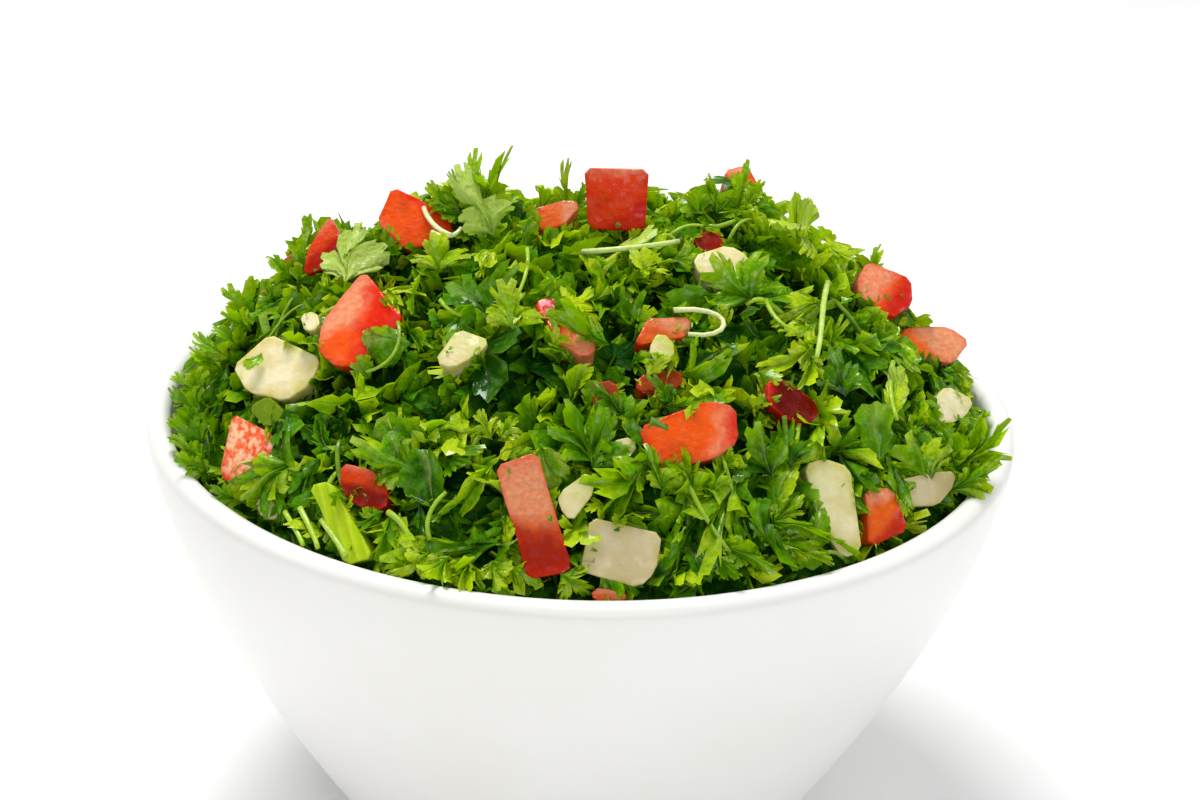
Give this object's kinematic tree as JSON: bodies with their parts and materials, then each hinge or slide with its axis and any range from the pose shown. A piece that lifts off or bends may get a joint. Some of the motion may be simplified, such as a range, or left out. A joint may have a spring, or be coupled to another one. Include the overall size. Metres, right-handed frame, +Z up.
{
  "type": "tabbouleh salad",
  "caption": "Small white porcelain bowl heaped with tabbouleh: coarsely chopped parsley with cut tomato, onion and stalks, rising in a dome over the rim.",
  "frame": {"origin": "middle of the foot ring on the table", "axes": "+Z up out of the bowl; the side shown and eaten from looks along -Y"},
  "size_m": [0.1446, 0.1446, 0.1157],
  "materials": {
    "porcelain": "white glaze, smooth and softly glossy",
    "parsley": "fresh chopped parsley leaf, dressed, slightly wet",
    "tomato": "wet cut tomato, glossy skin and moist flesh",
    "onion": "moist translucent cream onion",
    "stalk": "ridged fresh green stalk"
  },
  "bodies": {
    "root": {"bowl": "porcelain", "parsley_heap": "parsley", "tomato_01": "tomato", "tomato_02": "tomato", "tomato_03": "tomato", "tomato_04": "tomato", "tomato_05": "tomato", "tomato_06": "tomato", "tomato_07": "tomato", "tomato_08": "tomato", "tomato_09": "tomato", "tomato_10": "tomato", "tomato_11": "tomato", "tomato_12": "tomato", "tomato_13": "tomato", "tomato_14": "tomato", "tomato_15": "tomato", "tomato_16": "tomato", "tomato_17": "tomato", "tomato_18": "tomato", "tomato_19": "tomato", "tomato_20": "tomato", "tomato_21": "tomato", "tomato_22": "tomato", "tomato_23": "tomato", "tomato_24": "tomato", "tomato_25": "tomato", "tomato_26": "tomato", "tomato_27": "tomato", "tomato_28": "tomato", "onion_01": "onion", "onion_02": "onion", "onion_03": "onion", "onion_04": "onion", "onion_05": "onion", "onion_06": "onion", "onion_07": "onion", "onion_08": "onion", "onion_09": "onion", "onion_10": "onion", "onion_11": "onion", "onion_12": "onion", "onion_13": "onion", "onion_14": "onion", "onion_15": "onion", "onion_16": "onion", "onion_17": "onion", "stalk_01": "stalk", "stalk_02": "stalk"}
  },
  "joints": []
}
